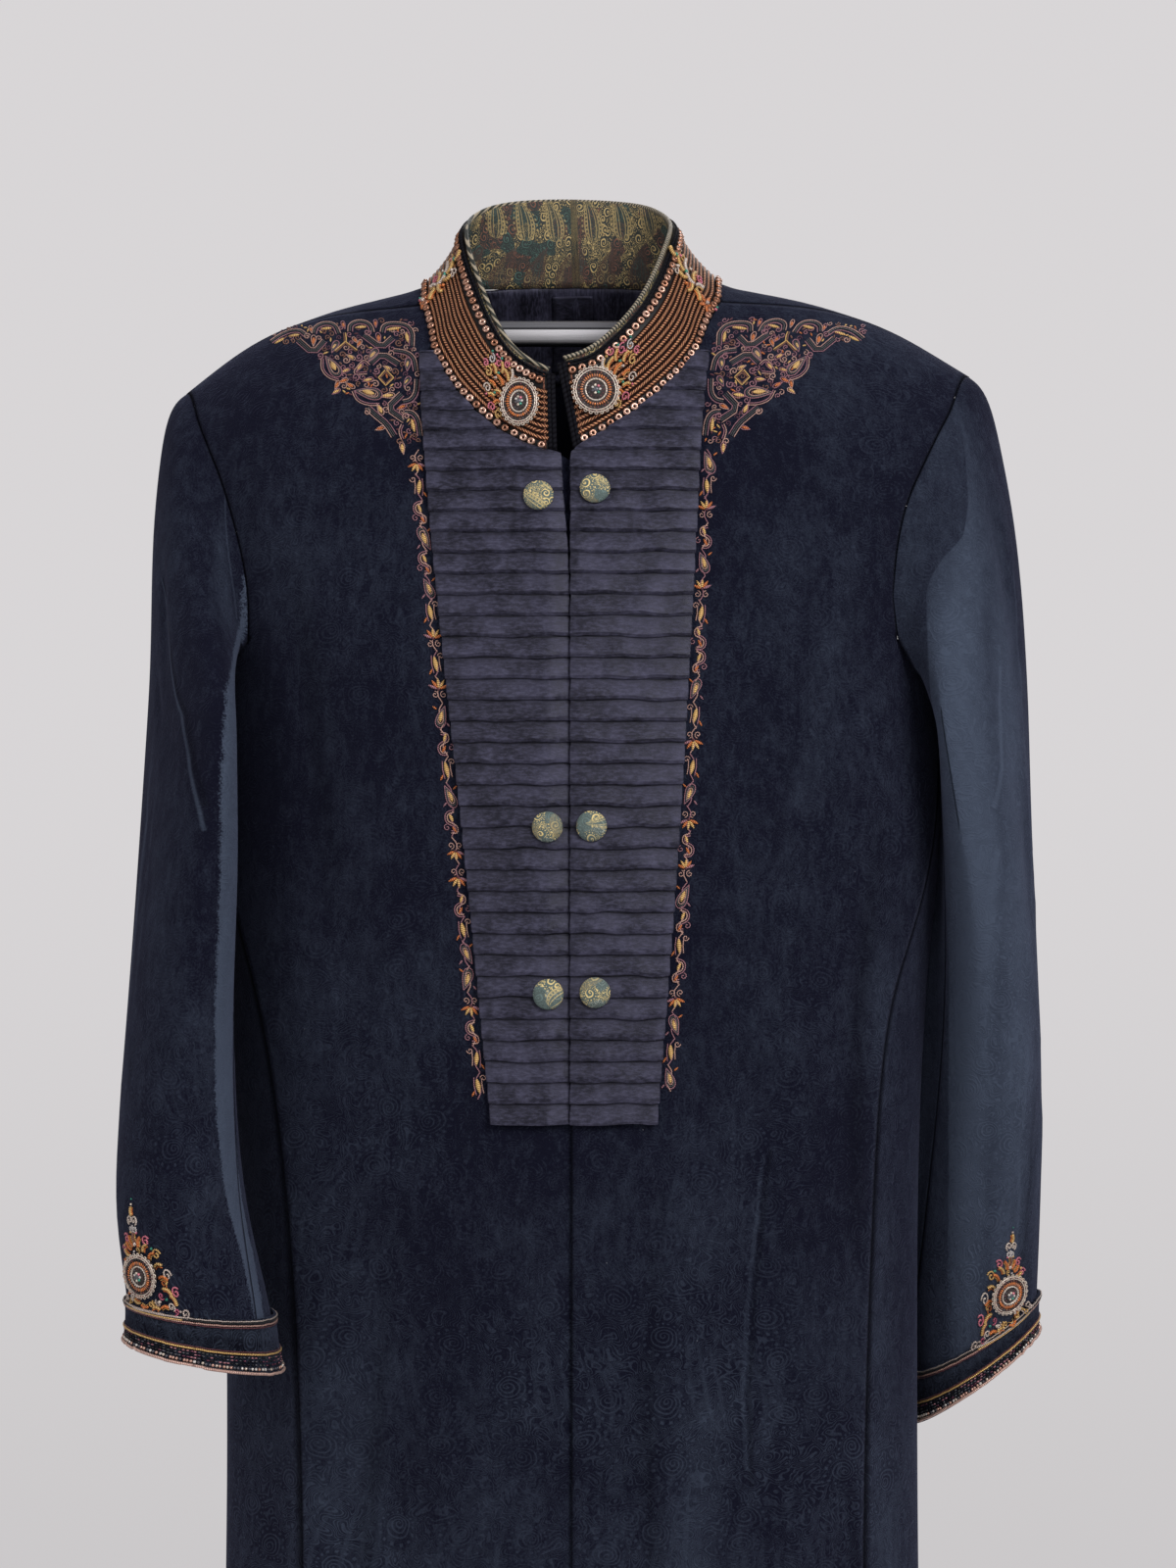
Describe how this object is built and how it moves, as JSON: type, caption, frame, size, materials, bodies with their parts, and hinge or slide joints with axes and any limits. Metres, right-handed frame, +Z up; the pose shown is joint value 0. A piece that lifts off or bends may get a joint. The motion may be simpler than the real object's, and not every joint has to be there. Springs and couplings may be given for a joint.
{
  "type": "sherwani coat on hanger",
  "caption": "A dark navy velvet sherwani coat with a tucked satin bib, braided stand collar and beaded cuffs, hanging buttoned on a plain straight-bar hanger.",
  "frame": {"origin": "centre of the hanger's straight bar, inside the neck", "axes": "+Z up, the front faces -Y, the wearer's left is +X"},
  "size_m": [0.566, 0.2881, 1.1376],
  "materials": {
    "velvet": "matt navy pile with a tonal paisley",
    "satin": "dark navy satin",
    "braid": "copper braid",
    "brocade": "paisley brocade",
    "piping": "pale paisley piping",
    "cuff_velvet": "dark pile",
    "button_cover": "brocade cover",
    "beads": "beaded",
    "label_cloth": "plain satin label, bare",
    "chrome": "polished",
    "arm_finish": "satin black"
  },
  "bodies": {
    "root": {"back": "velvet", "back_neck_lining": "satin", "bib_left": "satin", "bib_right": "satin", "button_bottom_left": "button_cover", "button_bottom_right": "button_cover", "button_middle_left": "button_cover", "button_middle_right": "button_cover", "button_top_left": "button_cover", "button_top_right": "button_cover", "collar": "braid", "collar_lining": "brocade", "collar_medallion_left": "beads", "collar_medallion_right": "beads", "collar_piping": "piping", "cuff_band_left": "cuff_velvet", "cuff_band_right": "cuff_velvet", "cuff_medallion_left": "beads", "cuff_medallion_right": "beads", "front_left": "velvet", "front_right": "velvet", "hanger_arm_left": "arm_finish", "hanger_arm_right": "arm_finish", "hanger_bar": "chrome", "neck_label": "label_cloth", "side_panel_left": "velvet", "side_panel_right": "velvet", "sleeve_top_left": "velvet", "sleeve_top_right": "velvet", "sleeve_under_left": "velvet", "sleeve_under_right": "velvet"}
  },
  "joints": []
}
